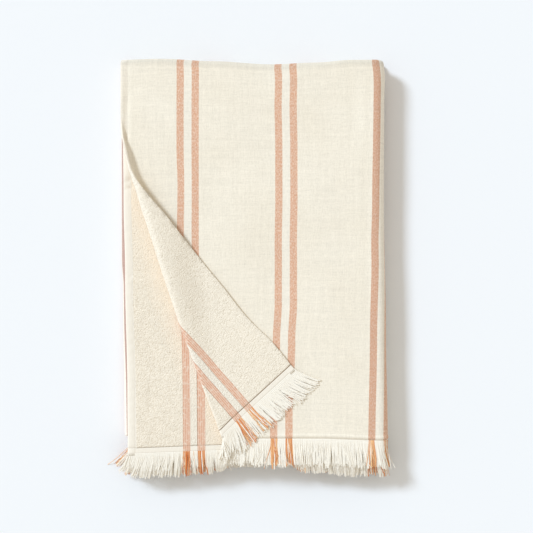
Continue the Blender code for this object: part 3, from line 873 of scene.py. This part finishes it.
# %% [markdown]
# ## The towel
# The two sides, their walls and their finishes come together in one piece.

# %% Close the cloth
WALL_STRIP = 0.002


def walls_round(faces, count):
    """Triangles between the outlines of the two sides. The looped side is numbered count higher."""
    starts, ends = faces.ravel().tolist(), np.roll(faces, -1, axis=1).ravel().tolist()
    back = set(zip(ends, starts))
    a, b = np.array([pair for pair in zip(starts, ends) if pair not in back]).T
    return np.concatenate([np.column_stack([a, a + count, b + count]), np.column_stack([a, b + count, b])])


def both_sides(points, faces):
    """The points, the triangles, the two maps and the finish slots of the closed cloth."""
    s, t = points.T
    count = len(points)
    middle, normal = place(s, t)
    face_depth, loops_depth = thicknesses(s, t)
    middle = middle + normal * relief(s, t)[:, None]
    solid = np.concatenate([middle + normal * face_depth[:, None], middle - normal * loops_depth[:, None]])
    walls = walls_round(faces, count)
    triangles = np.concatenate([faces, faces[:, ::-1] + count, walls])
    slots = np.repeat([0, 1, 0], [len(faces), len(faces), len(walls)])
    at = triangles % count
    wall_foot = (triangles >= count) & (np.arange(len(triangles))[:, None] >= 2 * len(faces))
    centre = np.array([WIDTH.length, LENGTH.length]) / 2
    outward = np.where(np.abs(points - centre) > centre - 1e-6, np.sign(points - centre), 0.0)
    spread = points[at] + outward[at] * (wall_foot * WALL_STRIP)[:, :, None]
    laid = pattern(spread[..., 0].ravel(), spread[..., 1].ravel(), np.repeat(slots, 3))
    return solid, triangles, {"flat": woven(s, t)[at.ravel()], "OFBake": laid}, slots


# %% Build the towel
solid, triangles, maps, slots = both_sides(net_points, net_faces)
towel = new_piece("towel_cloth", solid, triangles, maps, [face.material, loops.material], slots)
towel.data.polygons.foreach_set("use_smooth", np.arange(len(triangles)) < 2 * len(net_faces))
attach(towel, "root")
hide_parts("towel")
print(f"towel: {len(triangles)} triangles")

# %% [markdown]
# ## The fringes
# At each end the weft stops and the warp yarns hang loose, about 30 mm long. Hair strands would be quick
# but don't export, so each yarn is a thin tube. Yarns cling together in small bunches that narrow towards
# their tips, lean this way and that, and end at different lengths. Each one leaves the cloth in the
# direction in which the cloth points there, which makes the fan at the turned crease by itself. Where the
# yarns of the real towel curl under, two tables make them shorter: one by x at the front, and one by s at
# the crease.

# %% Lean of the yarns
UPPER_LEAN = [
    (0, 28), (0.02, 18), (0.05, 9), (0.073, 6), (0.091, -3), (0.105, -20), (0.116, -42),
    (0.122, -20), (0.135, -6), (0.155, 0), (0.3, 2), (0.322, 16), (0.35, 0), (0.64, 0),
    (0.655, -34), (0.67, -35), (0.69, -10), (1.1, 0),
]
LOWER_LEAN = [
    (0, -34), (0.003, -28), (0.012, -19), (0.035, -11), (0.08, 1), (0.14, 4), (0.32, 4),
    (0.6, 0), (0.655, -10), (0.7, -10), (0.76, 0), (1.1, 0),
]
YARN_RINGS, YARN_SIDES = 8, 5
ROOT_INSIDE, ROOT_RAISED, LOOPS_UP = 0.0030, 0.0004, 0.118
FRINGE_LENGTH = 0.0300
UPPER_LENGTHS, LOWER_LENGTHS, UNEVEN = (0.90, 1.12), (0.86, 0.98), (-0.08, 0.06)
WORN_OFF, WORN_REACH = 0.28, 0.020
CURLED_UNDER = [
    (-0.11, 1), (-0.066, 0.97), (-0.042, 0.86), (-0.028, 0.56), (0.02, 0.5), (0.04, 0.58),
    (0.058, 0.86), (0.092, 0.93), (0.116, 1.02), (0.15, 1),
]
CURLED_AT_CREASE = [(0.096, 1), (0.109, 0.76), (0.121, 0.74), (0.134, 1)]

# %% Two kinds of yarns
Yarns = namedtuple("Yarns", "count bunch gather lean_bunch lean_yarn lift wave wide high hang")
SHEET_YARNS = Yarns(
    count=1700, bunch=(6, 15), gather=(0.0, 0.20), lean_bunch=2.5, lean_yarn=1.5,
    lift=(-0.0001, 0.0001), wave=0.0002, wide=0.00060, high=0.00014, hang=0.12,
)
LOOSE_YARNS = Yarns(
    count=560, bunch=(2, 6), gather=(0.2, 0.9), lean_bunch=8.0, lean_yarn=5.0,
    lift=(0.0001, 0.0005), wave=0.0007, wide=0.00036, high=0.00020, hang=0.35,
)
print(f"{SHEET_YARNS.count + LOOSE_YARNS.count} yarns at each end")


# %% Roots of the yarns
def unit(vectors):
    """The vectors at length 1."""
    return vectors / np.linalg.norm(vectors, axis=-1, keepdims=True)


def edge_frames(s, end_t, outward, step=0.0004):
    """At points of an end: places, and the directions out, along the edge and up from the smooth side."""
    at = np.full(len(s), end_t)
    here, up = place(s, at)
    inside, _ = place(s, at - outward * step)
    left, _ = place(s - step, at)
    right, _ = place(s + step, at)
    return here, unit(here - inside), unit(right - left), up


# %% Middle lines of the yarns
SAG, SAG_OVER_PACK, SAG_ON_CORNER, HANGING = 0.0036, 0.0005, 0.1, 0.0090
PACK_TOP, CORNER_S = 0.030, 0.115
LEAN_CURVE, GATHER_SPEED, WAVES, TIP_BENDS_FROM = 0.3, 1.2, (0.6, 1.6), 0.7


def sag_of(roots, heights, end_t):
    """How far the tips hang below the end they grow from. Yarns that lie on the pack hardly hang."""
    over_pack = (heights > PACK_TOP) & (end_t == 0.0)
    on_corner = (roots < CORNER_S) & (end_t == 0.0)
    return np.where(over_pack, SAG_OVER_PACK, SAG) * np.where(on_corner, SAG_ON_CORNER, 1.0)


def yarn_lines(yarns, end_t, outward, lean_rows, random):
    """The middle lines of one kind of yarns of one end, with the s and the tones of the yarns."""
    count = yarns.count
    lower = end_t > 0.0
    roots = (np.arange(count) + 0.5 + random.uniform(-0.3, 0.3, count)) * WIDTH.length / count
    bunch = np.repeat(np.arange(count), random.integers(*yarns.bunch, count))[:count]
    middles = np.bincount(bunch, roots) / np.bincount(bunch)
    lean = read(lean_rows, roots) + random.normal(0, yarns.lean_bunch, count)[bunch]
    lean = np.tan(np.radians(lean + random.normal(0, yarns.lean_yarn, count)))
    length = random.uniform(*(LOWER_LENGTHS if lower else UPPER_LENGTHS), count)[bunch]
    length = FRINGE_LENGTH * (length + random.uniform(*UNEVEN, count))
    gather = random.uniform(*yarns.gather, count)[bunch]
    lift = random.uniform(*yarns.lift, count)
    phase, turns = random.uniform(0, 2 * np.pi, count), random.uniform(*WAVES, count)
    hanging = lower * (random.uniform(0, 1, count) < yarns.hang)
    tones = 0.5 * random.uniform(0, 1, count)[bunch] + 0.5 * random.uniform(0, 1, count)
    here, out, along, up = edge_frames(roots, end_t, outward)
    if lower:
        length = length * (1.0 - WORN_OFF * soft(1.0 - roots / WORN_REACH)) * read(CURLED_UNDER, here[:, 0])
    else:
        length = length * read(CURLED_AT_CREASE, roots)
    side = np.sign(along[:, 0])
    sag = sag_of(roots, here[:, 2], end_t) + HANGING * hanging
    lines = []
    for part in np.linspace(0.0, 1.0, YARN_RINGS):
        reach = (length + ROOT_INSIDE) * part - ROOT_INSIDE
        across = lean * np.maximum(reach, 0.0) * side * part**LEAN_CURVE
        across = across + gather * (middles[bunch] - roots) * soft(part * GATHER_SPEED)
        across = across + yarns.wave * part * np.sin(phase + 2 * np.pi * turns * part)
        raised = ROOT_RAISED * np.sign(roots - LOOPS_UP) * soft(1.0 - part * 2.5)
        line = here + out * reach[:, None] + along * across[:, None] + up * raised[:, None]
        waving = yarns.wave * part * np.cos(phase * 1.7 + 5.0 * turns * part)
        line[:, 2] += lift * min(1.0, part * 3.0) + 0.5 * waving
        line[:, 2] -= sag * (part**2 + 2.0 * max(0.0, part - TIP_BENDS_FROM))
        line[:, 2] = np.maximum(line[:, 2], 2 * yarns.high)
        lines.append(line)
    return np.stack(lines, axis=1), roots, tones


# %% [markdown]
# A tube needs a ring of points round each place of its line. Two directions across the line carry the
# ring. The map named flat holds the turn round the yarn and the distance along it, so that its twist can
# be drawn, and the attribute named tone gives each yarn its own lightness.

# %% Tubes round the lines
def tube_points(lines, wide, high):
    """Rings of points round every place of every line, flattened where high is less than wide."""
    ahead = unit(np.gradient(lines, axis=1))
    guide = np.where(np.abs(ahead[:, :, 2:]) > 0.8, [1.0, 0.0, 0.0], [0.0, 0.0, 1.0])
    across = unit(np.cross(ahead, guide))
    raised = np.cross(across, ahead)
    angles = np.pi / 2 + np.linspace(0, 2 * np.pi, YARN_SIDES, endpoint=False)
    beside = across[:, :, None] * wide[:, :, None, None] * np.cos(angles)[:, None]
    above = raised[:, :, None] * high[:, :, None, None] * np.sin(angles)[:, None]
    return lines[:, :, None] + beside + above


# %% Spin the yarns
MAP_COLUMNS, LANE_START, LANE_SHARE = 48, 0.06, 0.88
ROOT_CAP, TIP_CAP, CAP_SPREAD, RING_STEP = 0.02, 0.98, 0.02, 0.004


def in_lane(yarn, count, around, up):
    """Where corners lie on the second map, which gives each of the yarns a lane of its own."""
    across = yarn % MAP_COLUMNS + LANE_START + LANE_SHARE * around
    return np.stack([across / MAP_COLUMNS, (yarn // MAP_COLUMNS + up) / math.ceil(count / MAP_COLUMNS)], -1)


def spin(name, lines, wide, high, materials, slots, tones):
    """Thin flat tubes along many lines at once, with closed tips."""
    count, rings, _ = lines.shape
    index = np.arange(count * rings * YARN_SIDES).reshape(count, rings, YARN_SIDES)
    yarn = np.arange(count)[:, None]
    near, far = index[:, :-1], index[:, 1:]
    quads = np.stack([near, np.roll(near, -1, axis=2), np.roll(far, -1, axis=2), far], -1).reshape(-1, 4)
    of_quad, ring, side = [at.reshape(-1, 1) for at in np.indices(near.shape)]
    around = (side + [0, 1, 1, 0]) / YARN_SIDES
    distance = (ring + [0, 0, 1, 1]) / (rings - 1)
    twist = np.stack([around, distance * FRINGE_LENGTH], -1)
    laid = in_lane(of_quad, count, around, LANE_START + LANE_SHARE * distance)
    halves = [[0, 1, 2], [0, 2, 3]]
    triangles = [quads[:, half] for half in halves]
    flat_map, bake_map = [twist[:, half] for half in halves], [laid[:, half] for half in halves]
    of_yarn = [of_quad[:, 0], of_quad[:, 0]]
    for row, order, edge in ((0, [0, 2, 1], ROOT_CAP), (rings - 1, [0, 1, 2], TIP_CAP)):
        for corner in range(1, YARN_SIDES - 1):
            fan = np.array([0, corner, corner + 1])[order]
            around = fan / YARN_SIDES
            triangles.append(index[:, row, fan])
            along = np.zeros((count, 1)) + row * RING_STEP
            flat_map.append(np.stack(np.broadcast_arrays(around, along), -1))
            bake_map.append(in_lane(yarn, count, around, edge + (around - 0.5) * CAP_SPREAD))
            of_yarn.append(yarn[:, 0])
    triangles = np.concatenate(triangles)
    maps = {"flat": np.concatenate(flat_map), "OFBake": np.concatenate(bake_map)}
    points = tube_points(lines, wide, high).reshape(-1, 3)
    piece = new_piece(name, points, triangles, maps, materials, slots[np.concatenate(of_yarn)])
    piece.data.shade_flat()
    tone = piece.data.attributes.new("tone", "FLOAT", "POINT")
    tone.data.foreach_set("value", np.repeat(tones, rings * YARN_SIDES).astype(np.float32))
    print(f"{name}: {count} yarns, {len(triangles)} triangles")
    return piece


# %% [markdown]
# ## Yarn finishes
# The loose yarns are cream, and orange where a stripe ends, stronger in colour than the stripe because no
# cream weft crosses them here. Both finishes share one recipe: the yarn's own tone, with a contrast that
# spreads the tones out, darker specks, and a slanting twist that the bump shows, with painted shade in
# its grooves.

# %% Finish of the yarns
def yarn_finish(name, contrast, light, dark, speck_and_groove_shade):
    """A twisted cotton yarn between two colours."""
    finish = Finish(name, sheen=0.25)
    around, distance = finish.weave()
    tone = finish.node("ShaderNodeAttribute", {"attribute_name": "tone"}, {})["Fac"]
    twist = ((around + distance * 620.0) % 1.0).inside(0.5, 0.28, 0.3)
    blotch = finish.noise(tone * 50.0, distance * 260.0, around, detail=3.0)
    colour = finish.coats(
        finish.mix(tone.spread(contrast, 0.5), dark, light),
        (blotch.spread(2.5, 0.25) * 0.45, speck_and_groove_shade),
        # Painted shade in the grooves of the twist.
        ((1.0 - twist) * 0.14, speck_and_groove_shade),
    )
    finish.close(colour, twist, distance=0.0002, strength=0.6)
    return finish.material


CREAM_YARN = (0.985, 0.925, 0.815), (0.955, 0.885, 0.765), (0.860, 0.765, 0.620)
ORANGE_YARN = (0.998, 0.660, 0.330), (0.680, 0.150, 0.018), (0.480, 0.080, 0.010)
yarn_finishes = [yarn_finish("cream_yarn", 1.0, *CREAM_YARN), yarn_finish("orange_yarn", 1.5, *ORANGE_YARN)]

# %% Build the fringes
ORANGE_SHARE, STRAY_SHARE = 0.80, 0.005
TIP_WIDTH, UNEVEN_WIDTH, WIDTHS = 0.86, 0.10, (0.8, 1.15)


def stripe_at(s, t):
    """True where yarns at flat points belong to a stripe."""
    past = (woven(s, t)[:, 0] - FIRST_STRIPE) % PAIR_PITCH
    return (past < STRIPE_WIDTH) | ((past > SECOND_STRIPE) & (past < SECOND_STRIPE + STRIPE_WIDTH))


def fringe(name, end_t, outward, lean_rows, seed):
    """The yarns of one end of the towel."""
    random = np.random.default_rng(seed)
    kinds = [SHEET_YARNS, LOOSE_YARNS]
    laid = [yarn_lines(kind, end_t, outward, lean_rows, random) for kind in kinds]
    lines, roots, tones = [np.concatenate(parts) for parts in zip(*laid)]
    count = len(roots)
    chance = random.uniform(0, 1, count)
    orange = stripe_at(roots, np.full(count, end_t)) & (chance < ORANGE_SHARE)
    orange = orange | (chance > 1.0 - STRAY_SHARE)
    taper = np.linspace(1.0, TIP_WIDTH, YARN_RINGS)
    taper = taper * (1 + UNEVEN_WIDTH * random.normal(0, 1, (count, YARN_RINGS)))
    taper = taper * random.uniform(*WIDTHS, count)[:, None]
    counts = [kind.count for kind in kinds]
    wide = np.repeat([kind.wide for kind in kinds], counts)[:, None] * taper
    high = np.repeat([kind.high for kind in kinds], counts)[:, None] * taper
    piece = spin(name, lines, wide, high, yarn_finishes, orange.astype(int), tones)
    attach(piece, "root")
    return piece


upper_fringe = fringe("upper_yarns", 0.0, -1.0, UPPER_LEAN, 11)
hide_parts("fringe_upper")
lower_fringe = fringe("lower_yarns", LENGTH.length, 1.0, LOWER_LEAN, 23)
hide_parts("fringe_lower")

# %% [markdown]
# ## Table, light and camera
# A white table and soft light from the upper left, as in a plain studio. One large lamp gives the long
# soft shadow, and a pale sky fills it to about half. The camera looks straight down.

# %% Table
REACH = 6.0
table_mesh = bpy.data.meshes.new("table_top")
table_corners = [(-REACH, -REACH, 0), (REACH, -REACH, 0), (REACH, REACH, 0), (-REACH, REACH, 0)]
table_mesh.from_pydata(table_corners, [], [(0, 1, 2, 3)])
table_top = bpy.data.objects.new("table_top", table_mesh)
bpy.context.scene.collection.objects.link(table_top)
paint = Finish("table_paint", roughness=0.7, sheen=0.0)
paint.inputs["Base Color"].default_value = (0.88, 0.88, 0.88, 1.0)
table_mesh.materials.append(paint.material)
print(f"table {2 * REACH:.0f} m wide")

# %% Light
LIGHT_FROM = Vector((-1.12, 0.86, 1.0)).normalized()
scene = bpy.context.scene
scene.view_settings.view_transform = "Standard"
world = bpy.data.worlds.new("studio")
scene.world = world
world.use_nodes = True
sky = world.node_tree.nodes["Background"]
sky.inputs["Color"].default_value = (1.0, 0.976, 0.912, 1.0)
sky.inputs["Strength"].default_value = 0.67
lamp = bpy.data.lights.new("window", "SUN")
lamp.angle = math.radians(13.0)
lamp.energy = 2.75
lamp.color = (0.714, 0.839, 1.0)
lamp_object = bpy.data.objects.new("window", lamp)
lamp_object.location = LIGHT_FROM * 2.0
lamp_object.rotation_mode = "QUATERNION"
lamp_object.rotation_quaternion = (-LIGHT_FROM).to_track_quat("-Z", "Y")
scene.collection.objects.link(lamp_object)
print(f"light comes from {math.degrees(math.asin(LIGHT_FROM.z)):.0f} degrees above the table")

# %% Camera
VIEW_X, VIEW_Y, VIEW_WIDTH, VIEW_HEIGHT, TOP_Z = 0.0146, 0.00305, 0.650, 1.70, 0.034
camera_data = bpy.data.cameras.new("camera")
camera_data.sensor_width = 36.0
camera_data.lens = camera_data.sensor_width * VIEW_HEIGHT / VIEW_WIDTH
camera = bpy.data.objects.new("camera", camera_data)
camera.location = (VIEW_X, VIEW_Y, TOP_Z + VIEW_HEIGHT)
scene.collection.objects.link(camera)
scene.camera = camera
print(f"lens {camera_data.lens:.1f} mm")
